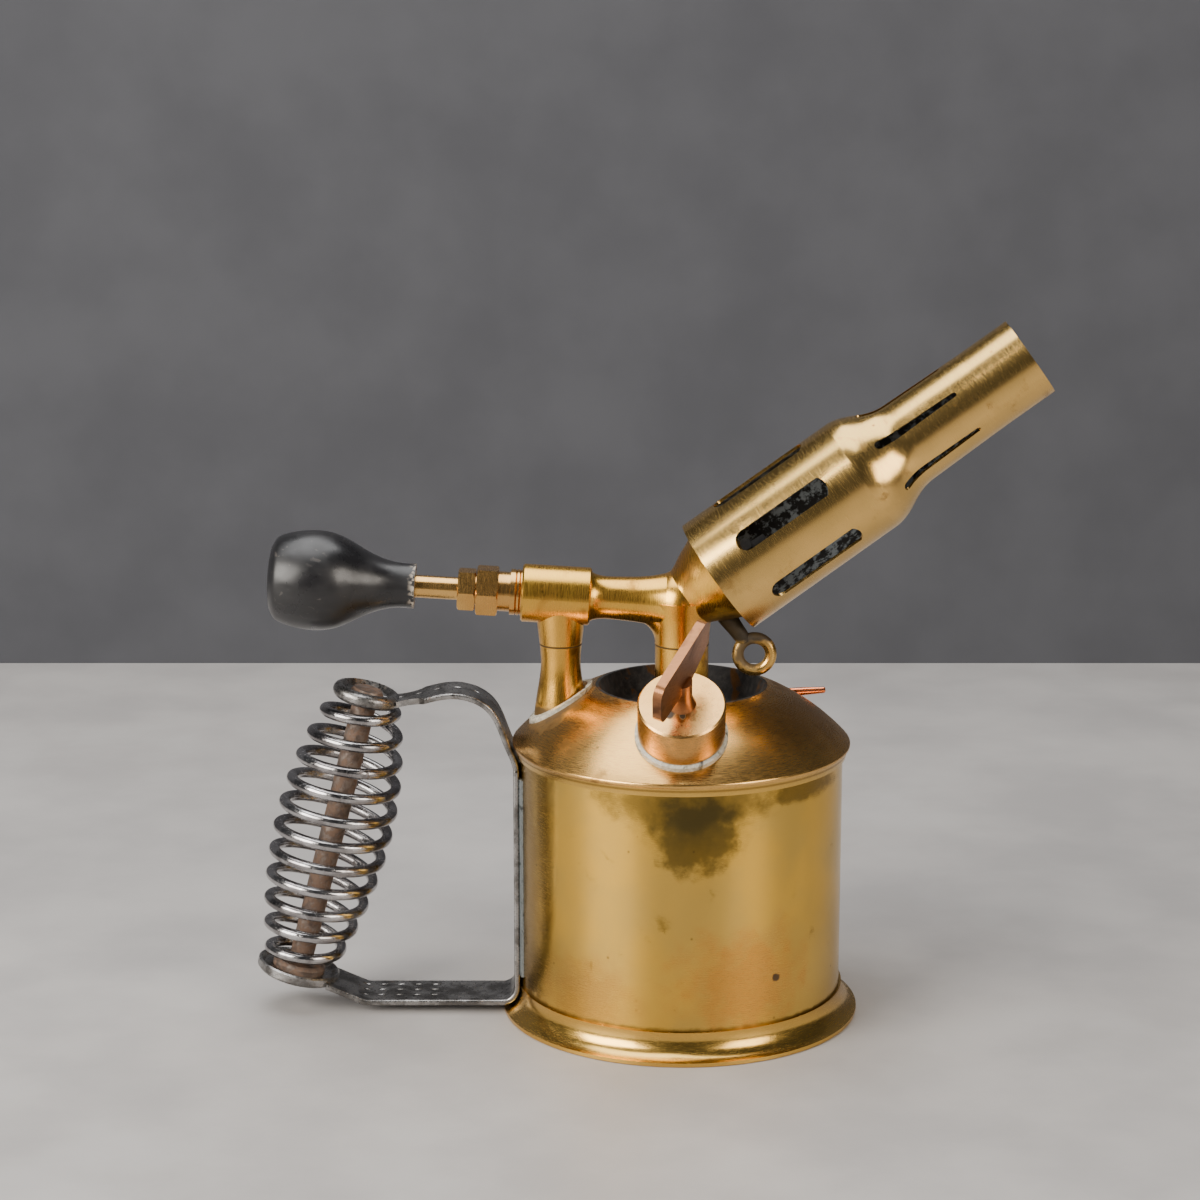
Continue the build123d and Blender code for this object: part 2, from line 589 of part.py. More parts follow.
def slot_cutter(start, length, width, tip_width, tip_bulge, inner, outer):
    """Radial cutter along +X: a slot with a round rear end, and a bowed front end of its own width."""
    rear = width / 2
    front = tip_width / 2
    end = start + length
    outline = make_face([
        ThreePointArc((start + rear, -rear), (start, 0), (start + rear, rear)),
        Line((start + rear, rear), (end - tip_bulge, front)),
        ThreePointArc((end - tip_bulge, front), (end, 0), (end - tip_bulge, -front)),
        Line((end - tip_bulge, -front), (start + rear, -rear)),
    ])
    across = Plane(origin=(inner, 0, 0), x_dir=(0, 0, 1), z_dir=(1, 0, 0))
    return extrude(across * outline, outer - inner)


def burner_tube():
    """Slotted burner tube: wide mixing barrel, shoulder and narrower flame tube."""
    tube = burner_solid(0, 0, BURNER_LENGTH) - burner_solid(WALL, -1, BURNER_LENGTH + 1)
    outer = BURNER_REAR_R + 2
    depth = BURNER_MUZZLE_R - 5
    wide = slot_cutter(SLOT_START, SLOT_LENGTH, SLOT_WIDTH, SLOT_WIDTH, SLOT_BULGE, depth, outer)
    narrow = slot_cutter(
        GILL_START, GILL_LENGTH, GILL_WIDTH, GILL_TIP_WIDTH, GILL_TIP_WIDTH / 2, depth, outer
    )
    for number in range(SLOTS):
        step = 90 + number * 360 / SLOTS
        tube = tube - Rot(0, 0, step - SLOT_TURN) * wide - Rot(0, 0, step - GILL_TURN) * narrow
    return placed(tube, burner_frame())


# ---- gland and valve ----
def stuffing_box():
    """Gland body: threaded shank in the barrel, visible threads, collar and spanner hexagon."""
    shank = rod_between(BOX_SHANK_R, BARREL_END - BOX_SHANK, BARREL_END + 0.5)
    box = shank + rod_between(THREAD_R, BARREL_END + TOUCH, BARREL_END + THREAD_LENGTH)
    rings = int(THREAD_LENGTH / THREAD_PITCH)
    mouth_r = THREAD_R + 0.2
    for number in range(rings):
        low = BARREL_END + (number + 0.5) * THREAD_PITCH
        groove = spun(Polyline(
            (mouth_r, low - 0.35), (THREAD_R - THREAD_DEPTH, low), (mouth_r, low + 0.35), close=True
        ))
        box = box - groove
    collar_end = BARREL_END + THREAD_LENGTH + COLLAR_LENGTH
    box = box + rod_between(COLLAR_R, BARREL_END + THREAD_LENGTH - 0.1, collar_end)
    box = box + hexagon_bar(BOX_HEX, collar_end, BOX_FACE)
    box = box + rod_between(BOX_NOSE_R, BOX_FACE - 0.1, BOX_FACE + BOX_NOSE)
    bore = rod_between(SPINDLE_R + RUNNING_CLEARANCE, 0, BOX_FACE + BOX_NOSE + 1)
    pocket_floor = BOX_FACE + BOX_NOSE - PACKING_LENGTH - 0.1
    pocket = rod_between(PACKING_R + SOLDER_GAP, pocket_floor, BOX_FACE + BOX_NOSE + 1)
    return placed(box - bore - pocket, valve_frame())


def gland_packing():
    """Packing rings pressed round the spindle at the box's outer end."""
    high = BOX_FACE + BOX_NOSE - 0.1
    ring = rod_between(PACKING_R, high - PACKING_LENGTH + 0.1, high)
    return placed(ring - rod_between(SPINDLE_R + RUNNING_CLEARANCE, 0, KNOB_START), valve_frame())


def gland_nut():
    """Hexagon nut that presses the packing; a recess takes the box's nose."""
    low = BOX_FACE + NUT_GAP
    nut = hexagon_bar(NUT_HEX, low, low + NUT_LENGTH)
    recess = rod_between(BOX_NOSE_R + SOLDER_GAP, low - 1, BOX_FACE + BOX_NOSE + TOUCH)
    return placed(nut - recess - rod_between(SPINDLE_R + RUNNING_CLEARANCE, 0, KNOB_START), valve_frame())


def valve_spindle():
    """Round spindle with a conical needle; its outer end is held in the knob."""
    seat = BARREL_BORE_END + SEAT_GAP
    outline = Polyline(
        (0, seat), (0.5, seat), (SPINDLE_TIP_R, seat + SPINDLE_TIP), (SPINDLE_R, seat + SPINDLE_TIP + 0.8),
        (SPINDLE_R, KNOB_START + KNOB_SOCKET), (0, KNOB_START + KNOB_SOCKET), close=True,
    )
    return placed(spun(outline), valve_frame())


def valve_knob():
    """Pear-shaped turned wooden knob, drilled for the spindle."""
    start = KNOB_START
    end = KNOB_START + KNOB_LENGTH
    widest = end - 12.0
    flank = Spline(
        (KNOB_NECK_R, start), (KNOB_WAIST_R, start + 6.5), (9.3, start + 14.0), (13.1, start + 21.5),
        (KNOB_R, widest), (12.4, end - 3.2), (9.0, end - 0.5), tangents=[(-0.1, 1), (-1.2, 0.5)],
    )
    close = Polyline((9.0, end - 0.5), (6.0, end), (0, end), (0, start), (KNOB_NECK_R, start))
    socket = rod_between(SPINDLE_R + RUNNING_CLEARANCE, start - 1, start + KNOB_SOCKET + SEAT_GAP)
    return placed(spun([flank, close]) - socket, valve_frame())


# ---- filler ----
def filler_neck():
    """Short threaded neck through the top."""
    neck = rod_between(FILLER_NECK_R, -FILLER_NECK_BELOW, FILLER_NECK_ABOVE)
    return placed(neck - rod_between(FILLER_BORE_R, -20, 20), filler_frame())


def filler_solder():
    """Bed of solder that joins the neck to the top."""
    bed = spun(Polyline(
        (0, -6), (FILLER_SOLDER_R, -6), (FILLER_SOLDER_R, FILLER_SOLDER_H - 0.5),
        (FILLER_SOLDER_R - 0.8, FILLER_SOLDER_H), (0, FILLER_SOLDER_H), close=True,
    ))
    ring = bed - rod_between(FILLER_NECK_R + SOLDER_GAP, -20, 20)
    return placed(ring, filler_frame()) - under_top(0)


def cap_washer():
    """Washer in the cap that seals on the neck's rim."""
    low = FILLER_NECK_ABOVE + SEAT_GAP
    ring = rod_between(FILLER_NECK_R, low, low + WASHER_THICK) - rod_between(FILLER_BORE_R - 1.5, 0, 20)
    return placed(ring, filler_frame())


def filler_cap():
    """Screw cap: a turned cup that closes over the neck."""
    ceiling = FILLER_NECK_ABOVE + WASHER_THICK + 2 * SEAT_GAP
    outline = Polyline(
        (0, CAP_BOTTOM_H), (CAP_R, CAP_BOTTOM_H), (CAP_R, CAP_TOP_H - CAP_CHAMFER),
        (CAP_R - CAP_CHAMFER, CAP_TOP_H), (0, CAP_TOP_H), close=True,
    )
    inside = rod_between(FILLER_NECK_R + CAP_CLEARANCE, 0, ceiling)
    return placed(spun(outline) - inside, filler_frame())


def cap_wing():
    """Wing on a flared neck, standing on the cap, to turn it by hand."""
    plate = make_face(Polyline(
        (-WING_FRONT, WING_LOW + 0.8), (-4, WING_LOW), (4, WING_LOW), (WING_BACK, WING_BACK_LOW),
        (WING_BACK, WING_TOP), (-WING_FRONT, WING_TOP), close=True,
    ))
    corners = [vertex for vertex in plate.vertices() if abs(vertex.X) > 10]
    plate = fillet(corners, WING_ROUND)
    upright = Plane(origin=(0, 0, 0), x_dir=(0, 1, 0), z_dir=(1, 0, 0))
    wing = extrude(upright * plate, WING_THICK / 2, both=True)
    neck_top = WING_LOW + 2.5
    neck = spun([
        ThreePointArc((WING_NECK_FLARE, TOUCH), (WING_NECK_R + 0.5, 1.6), (WING_NECK_R, 4.0)),
        Polyline(
            (WING_NECK_R, 4.0), (WING_NECK_R, neck_top), (0, neck_top), (0, TOUCH), (WING_NECK_FLARE, TOUCH)
        ),
    ])
    wing = Rot(0, 0, WING_TURN) * (wing + neck)
    return placed(wing, filler_frame(CAP_TOP_H))


# ---- vent pin ----
def pin_frame():
    """Plane across the pin's axis where it leaves the top."""
    rise = math.radians(PIN_RISE)
    foot = polar(PIN_R_FROM_AXIS, PIN_TURN, top_height(PIN_R_FROM_AXIS) + 0.6)
    return Plane(origin=foot, x_dir=(0, 1, 0), z_dir=(math.cos(rise), 0, math.sin(rise)))


def vent_pin():
    """Tapered copper pin set in the top behind the burner."""
    outline = Polyline(
        (0, -PIN_SUNK), (PIN_ROOT_R, -PIN_SUNK), (PIN_ROOT_R, 1.5), (PIN_TIP_R, PIN_LENGTH - 0.4),
        (PIN_TIP_R - 0.3, PIN_LENGTH), (0, PIN_LENGTH), close=True,
    )
    return placed(spun(outline), pin_frame())


# ---- handle ----
def strap_dish():
    """Dished round end of the strap under the grip."""
    dish = spun(Polyline(
        (0, -STRAP_THICK), (DISH_R - 0.8, -STRAP_THICK), (DISH_R, -STRAP_THICK + 0.8),
        (DISH_R, DISH_RIM - 0.4), (DISH_R - 0.5, DISH_RIM), (DISH_R - 1.1, DISH_RIM - 0.3),
        (DISH_R - 2.0, 0), (0, 0), close=True,
    ))
    return placed(dish, grip_frame())


def strap_cup():
    """Rolled cup at the strap's upper end, hollow above, over the top of the grip."""
    edge = CUP_END_HEIGHT / 2
    outline = [
        ThreePointArc((CUP_END_R - edge, 0), (CUP_END_R, edge), (CUP_END_R - edge, CUP_END_HEIGHT)),
        Polyline(
            (CUP_END_R - edge, CUP_END_HEIGHT), (CUP_END_DISH_R, CUP_END_HEIGHT - CUP_END_DISH),
            (0, CUP_END_HEIGHT - CUP_END_DISH), (0, 0), (CUP_END_R - edge, 0),
        ),
    ]
    return placed(spun(outline), grip_frame(GRIP_LENGTH))


def strap_run():
    """The strip from the lower dish along the bottom, up the tank's side and over the arch."""
    lean = math.radians(HANDLE_LEAN)
    slope = Vector(math.cos(lean), 0, -math.sin(lean))
    low_start = grip_frame(-STRAP_THICK).origin + slope * (DISH_R - 3.0)
    cup_edge = grip_frame(GRIP_LENGTH + CUP_END_HEIGHT - 1.0).origin + slope * (CUP_END_R - 1.2)
    arch_z = cup_edge.Z + ARCH_RISE
    rim_pass_x = -RIM_R - 2 * STRAP_CLEAR - 0.2
    rim_pass_z = RIM_Z - RIM_ROUND
    lower = FilletPolyline(
        (low_start.X, low_start.Z), (STRAP_TURN_X, STRAP_Z), (STRAP_BACK_X, STRAP_Z),
        (STRAP_BACK_X, STRAP_KICK_Z), radius=STRAP_BEND_R,
    )
    upper = Spline(
        (STRAP_BACK_X, STRAP_KICK_Z), (rim_pass_x, rim_pass_z), (rim_pass_x - 5.2, arch_z - 4.6),
        (ARCH_TOP_X, arch_z), (ARCH_TOP_X - 9.0, arch_z - 1.8), (cup_edge.X, cup_edge.Z),
        tangents=[(-0.1, 1), (-1, -0.2)],
    )
    arch = strap_from(upper, STRAP_ARCH_WIDTH)
    for side in (-1, 1):
        notch_y = side * (NECK_WIDTH / 2 + NECK_NOTCH_R)
        arch = arch - Pos(cup_edge.X + 3.0, notch_y, 0) * rod_between(NECK_NOTCH_R, RIM_Z, 2 * RIM_Z)
    return strap_from(lower, STRAP_WIDTH) + arch


def strap_from(centre_line, width):
    """Ribbon of the strap's thickness to the left of its line, with a given width."""
    wire = Plane.XZ * Wire(centre_line.edges())
    section_at = wire ^ 0
    tangent = wire % 0
    plane = Plane(origin=section_at.position, x_dir=(0, 1, 0), z_dir=tangent)
    side = plane.y_dir
    towards = 1 if side.dot(Vector(-1, 0, 0.6)) > 0 else -1
    section = plane * Pos(0, towards * STRAP_THICK / 2) * RectangleRounded(width, STRAP_THICK, 0.6)
    return sweep(section, path=wire)


def handle_strap():
    """One steel strap: lower dish, bottom run, upright, arch and upper cup."""
    rod_hole = placed(rod_between(ROD_R + BORE_CLEARANCE, -10, GRIP_LENGTH + 10), grip_frame())
    return strap_run() + strap_dish() + strap_cup() - rod_hole


def handle_rod():
    """Steel rod through the grip, riveted over under the dish and in the cup."""
    top = GRIP_LENGTH + CUP_END_HEIGHT - CUP_END_DISH + TOUCH
    low = -STRAP_THICK - TOUCH
    rod = rod_between(ROD_R, low, top)
    head = spun(Polyline(
        (0, top), (ROD_HEAD_R, top), (ROD_HEAD_R - 0.6, top + ROD_HEAD), (0, top + ROD_HEAD), close=True
    ))
    return placed(rod + head, grip_frame())


def coil_seat():
    """Flanged ring on the rod that the coil's lowest turn sits on."""
    ring = spun(Polyline(
        (0, TOUCH), (SEAT_R, TOUCH), (SEAT_R, SEAT_HEIGHT * 0.6), (SEAT_R - 0.8, SEAT_HEIGHT),
        (0, SEAT_HEIGHT), close=True,
    ))
    return placed(ring - rod_between(ROD_R + BORE_CLEARANCE, -1, 10), grip_frame())


def coil_radius(share):
    """Radius of the coil's wire centre at a share of its height: a spindle, widest near the middle."""
    if share < COIL_MID_SHARE:
        away = (COIL_MID_SHARE - share) / COIL_MID_SHARE
    else:
        away = (share - COIL_MID_SHARE) / (1 - COIL_MID_SHARE)
    return COIL_MID_R - (COIL_MID_R - COIL_END_R) * away ** 2


def handle_coil():
    """Right-handed coil of round wire, swelling in the middle to fill the hand."""
    low = SEAT_HEIGHT + WIRE_R + COIL_GAP
    high = GRIP_LENGTH - WIRE_R - COIL_GAP
    steps = round((FLAT_START + COIL_TURNS + FLAT_END) * 12)
    points = []
    for step in range(steps + 1):
        turns = step / 12
        share = min(max((turns - FLAT_START) / COIL_TURNS, 0), 1)
        points.append(polar(coil_radius(share), COIL_START + 360 * turns, low + (high - low) * share))
    route = Spline(*points)
    section = Plane(origin=route @ 0, z_dir=route % 0) * Circle(WIRE_R)
    return placed(sweep(section, path=route, is_frenet=True), grip_frame())


def strap_solder():
    """Seams of solder that fill the wedge between the flat strap's edges and the round tank."""
    low = FOOT_TOP_Z + 3
    high = STRAP_KICK_Z - 2
    half = STRAP_WIDTH / 2
    seams = []
    for side in (-1, 1):
        wedge = Polyline(
            (STRAP_BACK_X + TOUCH, side * (half - 3)), (STRAP_BACK_X + TOUCH, side * (half - 0.3)),
            (STRAP_BACK_X + 0.6, side * (half + 1.2)), (-BODY_R + 6, side * (half + 2)),
            (-BODY_R + 6, side * (half - 3)), close=True,
        )
        seams.append(Pos(0, 0, low) * extrude(make_face(wedge), high - low))
    return seams[0] + seams[1] - rod_between(BODY_R + SOLDER_GAP, 0, RIM_Z)


NODES = {
    "foot_ring": foot_ring,
    "tank_body": tank_body,
    "tank_bottom": tank_bottom,
    "tank_top": tank_top,
    "priming_cup": priming_cup,
    "riser_tube": riser_tube,
    "riser_solder": riser_solder,
    "fuel_wick": fuel_wick,
    "support_post": support_post,
    "valve_casting": valve_casting,
    "eye_plug": eye_plug,
    "jet_nipple": jet_nipple,
    "burner_tube": burner_tube,
    "stuffing_box": stuffing_box,
    "gland_packing": gland_packing,
    "gland_nut": gland_nut,
    "valve_spindle": valve_spindle,
    "valve_knob": valve_knob,
    "filler_neck": filler_neck,
    "filler_solder": filler_solder,
    "cap_washer": cap_washer,
    "filler_cap": filler_cap,
    "cap_wing": cap_wing,
    "vent_pin": vent_pin,
    "handle_strap": handle_strap,
    "handle_rod": handle_rod,
    "coil_seat": coil_seat,
    "handle_coil": handle_coil,
    "strap_solder": strap_solder,
}

os.makedirs("parts", exist_ok=True)
for name, make in NODES.items():
    export_step(make(), f"parts/{name}.step")
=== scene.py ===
# %% [markdown]
# # A brass blowlamp, dressed for its portrait
# The CAD model gives every part its place and size. This lesson adds what CAD leaves out: the finish of
# each metal, the black lacquer of the turned knob, the rust and the soot, a floor, soft light and a camera.

# %% Load the frame
import json
import math

import bpy
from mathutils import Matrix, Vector


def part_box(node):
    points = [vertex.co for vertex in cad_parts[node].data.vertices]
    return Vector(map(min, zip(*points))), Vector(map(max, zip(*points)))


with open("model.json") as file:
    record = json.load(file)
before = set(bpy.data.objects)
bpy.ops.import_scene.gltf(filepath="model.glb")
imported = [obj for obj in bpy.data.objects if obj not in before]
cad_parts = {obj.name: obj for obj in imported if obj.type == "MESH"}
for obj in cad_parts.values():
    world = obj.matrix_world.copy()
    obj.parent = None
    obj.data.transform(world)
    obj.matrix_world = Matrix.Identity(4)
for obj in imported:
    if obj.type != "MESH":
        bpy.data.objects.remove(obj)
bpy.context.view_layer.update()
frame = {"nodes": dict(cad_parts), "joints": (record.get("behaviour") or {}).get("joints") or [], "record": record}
MM = 0.001

# %% [markdown]
# The record names the axes that the finishes follow. Brushing runs round whatever was turned in a lathe,
# so the burner, the valve and the filler each need their own axis.

# %% Axes and landmarks
mounts = {mount["name"]: mount for mount in frame["record"]["mounts"]}
joints = {joint["name"]: joint for joint in frame["joints"]}
UP = Vector((0, 0, 1))
BURNER_AXIS = Vector(mounts["muzzle"]["axis"])
BURNER_POINT = Vector(mounts["muzzle"]["pos_m"])
VALVE_AXIS = Vector(joints["knob_turn"]["axis"])
VALVE_POINT = Vector(joints["knob_turn"]["pos_m"])
FILLER_AXIS = Vector(joints["cap_turn"]["axis"])
FILLER_POINT = Vector(joints["cap_turn"]["pos_m"])
body_low, body_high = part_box("tank_body")
BODY_RADIUS = body_high.x
print("body radius", round(BODY_RADIUS / MM, 1), "body height", round((body_high.z - body_low.z) / MM, 1))

# %% [markdown]
# Colours are written as they look on a screen and turned into linear light by one function. One more
# function adds a shader node: numbers set its inputs, and another node's output is linked.


# %% Colour and node helpers
def colour(code):
    """Linear RGBA from a screen colour such as C9A050."""
    parts = [int(code[start:start + 2], 16) / 255 for start in (0, 2, 4)]
    linear = [part / 12.92 if part <= 0.04045 else ((part + 0.055) / 1.055) ** 2.4 for part in parts]
    return (*linear, 1.0)


def add(tree, kind, inputs=None, **settings):
    """Adds a node. A socket given as an input's value is linked, and anything else is set."""
    made = tree.nodes.new(kind)
    for name, value in settings.items():
        setattr(made, name, value)
    for name, value in (inputs or {}).items():
        if isinstance(value, bpy.types.NodeSocket):
            tree.links.new(value, made.inputs[name])
        else:
            made.inputs[name].default_value = value
    return made


def math_node(tree, operation, first, second=0.5, clamp=False):
    """One arithmetic node and its result."""
    return add(tree, "ShaderNodeMath", {0: first, 1: second}, operation=operation, use_clamp=clamp).outputs[0]


def vector_node(tree, operation, inputs, result="Vector"):
    """One vector node and its result."""
    return add(tree, "ShaderNodeVectorMath", inputs, operation=operation).outputs[result]


def stretch(tree, value, low, high, out_low=0.0, out_high=1.0):
    """Maps a value from one range to another, smoothly and clamped."""
    made = add(
        tree, "ShaderNodeMapRange",
        {"Value": value, "From Min": low, "From Max": high, "To Min": out_low, "To Max": out_high},
        interpolation_type="SMOOTHSTEP",
    )
    return made.outputs["Result"]


def blend(tree, share, first, second):
    """Mixes two colours by a share from 0 to 1."""
    made = tree.nodes.new("ShaderNodeMix")
    made.data_type = "RGBA"
    for socket, value in ((made.inputs[0], share), (made.inputs[6], first), (made.inputs[7], second)):
        if isinstance(value, bpy.types.NodeSocket):
            tree.links.new(value, socket)
        else:
            socket.default_value = value
    return made.outputs[2]


print("gold", [round(part, 3) for part in colour("D8B566")])

# %% [markdown]
# A turned or brushed metal carries scratches that run round its axis. The object's own coordinates are
# turned so that the axis lies along Z, and the noise is squeezed along that axis.


# %% Pattern helpers
def object_point(tree):
    """The point on the object, in metres in the lamp's frame."""
    return add(tree, "ShaderNodeTexCoord").outputs["Object"]


def along_axis(tree, axis, point):
    """Coordinates with the given axis as Z and the given point as origin."""
    turn = axis.rotation_difference(UP).to_matrix()
    moved = vector_node(tree, "SUBTRACT", {0: object_point(tree), 1: tuple(point)})
    turned = add(
        tree, "ShaderNodeMapping", {"Vector": moved, "Rotation": tuple(turn.to_euler())},
        vector_type="POINT",
    )
    return turned.outputs[0]


def noise(tree, coordinates, size_mm, detail=4.0, rough=0.55, stretch_by=(1, 1, 1), bend=0.0):
    """Noise whose features measure size_mm on the object."""
    scaled = add(tree, "ShaderNodeMapping", {"Vector": coordinates, "Scale": stretch_by}).outputs[0]
    made = add(
        tree, "ShaderNodeTexNoise",
        {
            "Vector": scaled, "Scale": 1 / (size_mm * MM), "Detail": detail, "Roughness": rough,
            "Distortion": bend,
        },
    )
    return made.outputs["Fac"]


def patch(tree, coordinates, centre, half, edge, ragged_mm=6.0, raggedness=0.9):
    """A ragged patch: 1 inside an ellipsoid about a point, 0 outside, its edge broken by noise."""
    away = vector_node(tree, "SUBTRACT", {0: coordinates, 1: tuple(centre)})
    scaled = vector_node(tree, "MULTIPLY", {0: away, 1: tuple(1 / value for value in half)})
    distance = vector_node(tree, "LENGTH", {0: scaled}, "Value")
    wave = math_node(tree, "SUBTRACT", noise(tree, coordinates, ragged_mm), 0.5)
    broken = math_node(tree, "MULTIPLY", wave, raggedness)
    return stretch(tree, math_node(tree, "ADD", distance, broken), 1 + edge, 1 - edge)


def spots(tree, coordinates, size_mm, share):
    """Small round spots scattered over the surface; share sets how many there are."""
    cells = add(tree, "ShaderNodeTexVoronoi", {"Vector": coordinates, "Scale": 1 / (size_mm * MM)})
    near = stretch(tree, cells.outputs["Distance"], 0.22, 0.08)
    chosen = stretch(tree, cells.outputs["Color"], 1 - share, 1 - share * 0.8)
    return math_node(tree, "MULTIPLY", near, chosen)


def new_material(name):
    """An empty material with its shader and output joined."""
    material = bpy.data.materials.new(name)
    material.use_nodes = True
    tree = material.node_tree
    tree.nodes.clear()
    shader = add(tree, "ShaderNodeBsdfPrincipled")
    add(tree, "ShaderNodeOutputMaterial", {"Surface": shader.outputs[0]})
    return material, tree, shader


def connect(tree, shader, **values):
    """Links or sets the shader's inputs, named with underscores for spaces."""
    for name, value in values.items():
        socket = shader.inputs[name.replace("_", " ")]
        if isinstance(value, bpy.types.NodeSocket):
            tree.links.new(value, socket)
        else:
            socket.default_value = value


def bump(tree, height, depth_mm, strength=1.0):
    """Normal of a height field that is 1 at its top and depth_mm deep."""
    made = add(tree, "ShaderNodeBump", {"Height": height, "Distance": depth_mm * MM, "Strength": strength})
    return made.outputs[0]


# %% [markdown]
# All the brass shares one recipe. A warm and a cool tone drift over the metal, brush lines change its
# roughness, and a dull film darkens it in patches. Each part then gets its own colours and wear, and the tank and
# dome also get painted shade and a painted reflection.


# %% The brass recipe
def brass(name, warm, cool, film, axis=UP, point=(0, 0, 0), dull=0.35, film_share=0.5, marks=()):
    """Old brass. marks are (mask maker, colour, roughness, metallic) for what lies on the metal, and for painted
    shade and painted reflections.
    """
    material, tree, shader = new_material(name)
    here = object_point(tree)
    turned = along_axis(tree, axis, point)
    drift = stretch(tree, noise(tree, here, 28.0, 3.0), 0.38, 0.62)
    tone = blend(tree, drift, colour(warm), colour(cool))
    cloud = noise(tree, here, 11.0, 6.0, 0.62, bend=0.4)
    filmed = stretch(tree, cloud, 0.66 - 0.22 * film_share, 0.80 - 0.1 * film_share, 0.0, 0.75)
    tone = blend(tree, filmed, tone, colour(film))
    lines = noise(tree, turned, 3.0, 5.0, 0.7, stretch_by=(1, 1, 34))
    fine = noise(tree, here, 0.9, 3.0)
    speck = spots(tree, here, 2.6, 0.16)
    tone = blend(tree, math_node(tree, "MULTIPLY", speck, 0.6), tone, colour("5A3D1C"))
    rough = stretch(tree, lines, 0.3, 0.7, dull - 0.07, dull + 0.07)
    rough = math_node(tree, "ADD", rough, math_node(tree, "MULTIPLY", filmed, 0.16))
    metal = 1.0
    for maker, mark, mark_rough, mark_metal in marks:
        mask = maker(tree, here)
        tone = blend(tree, mask, tone, colour(mark))
        shift = math_node(tree, "MULTIPLY", mask, mark_rough - dull)
        rough = math_node(tree, "ADD", rough, shift, clamp=True)
        if mark_metal < 1.0:
            kept = math_node(tree, "SUBTRACT", 1.0, math_node(tree, "MULTIPLY", mask, 1.0 - mark_metal))
            metal = kept if metal == 1.0 else math_node(tree, "MULTIPLY", metal, kept)
    brushed = math_node(tree, "MULTIPLY", lines, 0.6)
    height = math_node(tree, "ADD", brushed, math_node(tree, "MULTIPLY", fine, 0.4))
    relief = bump(tree, height, 0.012, 0.5)
    connect(tree, shader, Base_Color=tone, Roughness=rough, Metallic=metal, Normal=relief)
    return material


def mark_patch(centre_mm, half_mm, edge=0.25, ragged_mm=6.0, raggedness=0.9, share=1.0):
    """A mask maker for one ragged patch, placed in millimetres in the lamp's frame."""
    centre = [value * MM for value in centre_mm]
    half = [value * MM for value in half_mm]

    def maker(tree, here):
        mask = patch(tree, here, centre, half, edge, ragged_mm, raggedness)
        return math_node(tree, "MULTIPLY", mask, share)

    return maker


def mark_band(low_mm, high_mm, edge_mm=0.4, share=1.0, part="Z", ragged_mm=0.0):
    """A mask maker for everything between two heights, or between two places along another axis."""

    def maker(tree, here):
        place = add(tree, "ShaderNodeSeparateXYZ", {0: here}).outputs[part]
        if ragged_mm:
            wave = math_node(tree, "SUBTRACT", noise(tree, here, 3.0), 0.5)
            place = math_node(tree, "ADD", place, math_node(tree, "MULTIPLY", wave, ragged_mm * MM))
        above = stretch(tree, place, (low_mm - edge_mm) * MM, (low_mm + edge_mm) * MM)
        below = stretch(tree, place, (high_mm + edge_mm) * MM, (high_mm - edge_mm) * MM)
        both = math_node(tree, "MULTIPLY", above, below)
        return math_node(tree, "MULTIPLY", both, share)

    return maker


def mark_inside(axis, point, share=1.0, size_mm=4.0, low=0.0, high=0.0):
    """A mask maker for the faces of a tube that look at its own axis; noise can break it into patches."""

    def maker(tree, here):
        arm = vector_node(tree, "SUBTRACT", {0: here, 1: tuple(point)})
        along = vector_node(tree, "DOT_PRODUCT", {0: arm, 1: tuple(axis)}, "Value")
        shift = vector_node(tree, "SCALE", {0: tuple(axis), "Scale": along})
        radial = vector_node(tree, "SUBTRACT", {0: arm, 1: shift})
        unit = vector_node(tree, "NORMALIZE", {0: radial})
        normal = add(tree, "ShaderNodeTexCoord").outputs["Normal"]
        facing = vector_node(tree, "DOT_PRODUCT", {0: unit, 1: normal}, "Value")
        mask = stretch(tree, facing, -0.25, -0.75)
        if high:
            flakes = stretch(tree, noise(tree, here, size_mm, 8.0, 0.7), low, high)
            mask = math_node(tree, "MULTIPLY", mask, flakes)
        return math_node(tree, "MULTIPLY", mask, share)

    return maker


# %% [markdown]
# The tank was drawn from sheet and polished, then dulled by years on a shelf. A dark olive cloud hangs
# under the rim at the front, where heat and spilt spirit stained it, and orange tints sit near the foot.

# %% Tank finishes
FRONT = -BODY_RADIUS / MM
tank_marks = [
    (mark_patch((1, FRONT, 75), (24, 20, 7), 0.35, 8.0, 1.5, 0.7), "5C4A24", 0.36, 1.0),
    (mark_patch((3, FRONT, 66), (11, 20, 11), 0.3, 5.0, 1.5, 0.75), "453A20", 0.38, 1.0),
    (mark_patch((3, FRONT, 70), (12, 20, 8), 0.8, 3.0, 1.6, 0.5), "3A3A28", 0.4, 1.0),
    (mark_patch((34, FRONT + 16, 75), (14, 14, 3.0), 0.4, 4.0, 1.2, 0.7), "4A3A1C", 0.36, 1.0),
    (mark_patch((16, FRONT + 8, 22), (16, 25, 13), 0.6, 5.0, 1.8, 0.6), "D28A3C", 0.3, 1.0),
    (mark_patch((-26, FRONT + 12, 16), (12, 25, 10), 0.6, 5.0, 1.6, 0.4), "B87838", 0.32, 1.0),
    # Painted reflection: a tall dark brown band down the left side, where the tank faces the dark handle.
    (mark_patch((-44, -12, 42), (9, 14, 50), 0.5, 6.0, 1.4, 0.6), "6A4F26", 0.34, 1.0),
    (mark_patch((26, FRONT + 8, 22), (1.1, 6, 1.1), 0.3, 1.0, 0.8, 0.9), "2A2420", 0.5, 0.5),
    (mark_band(3.0, 9.4, 0.7, 0.75, ragged_mm=1.5), "4A3A1C", 0.45, 1.0),
]
finishes = {}
finishes["body_brass"] = brass(
    "worn_drawn_brass", "E2B34E", "D3AC56", "8A6E30", dull=0.2, film_share=0.2, marks=tank_marks
)
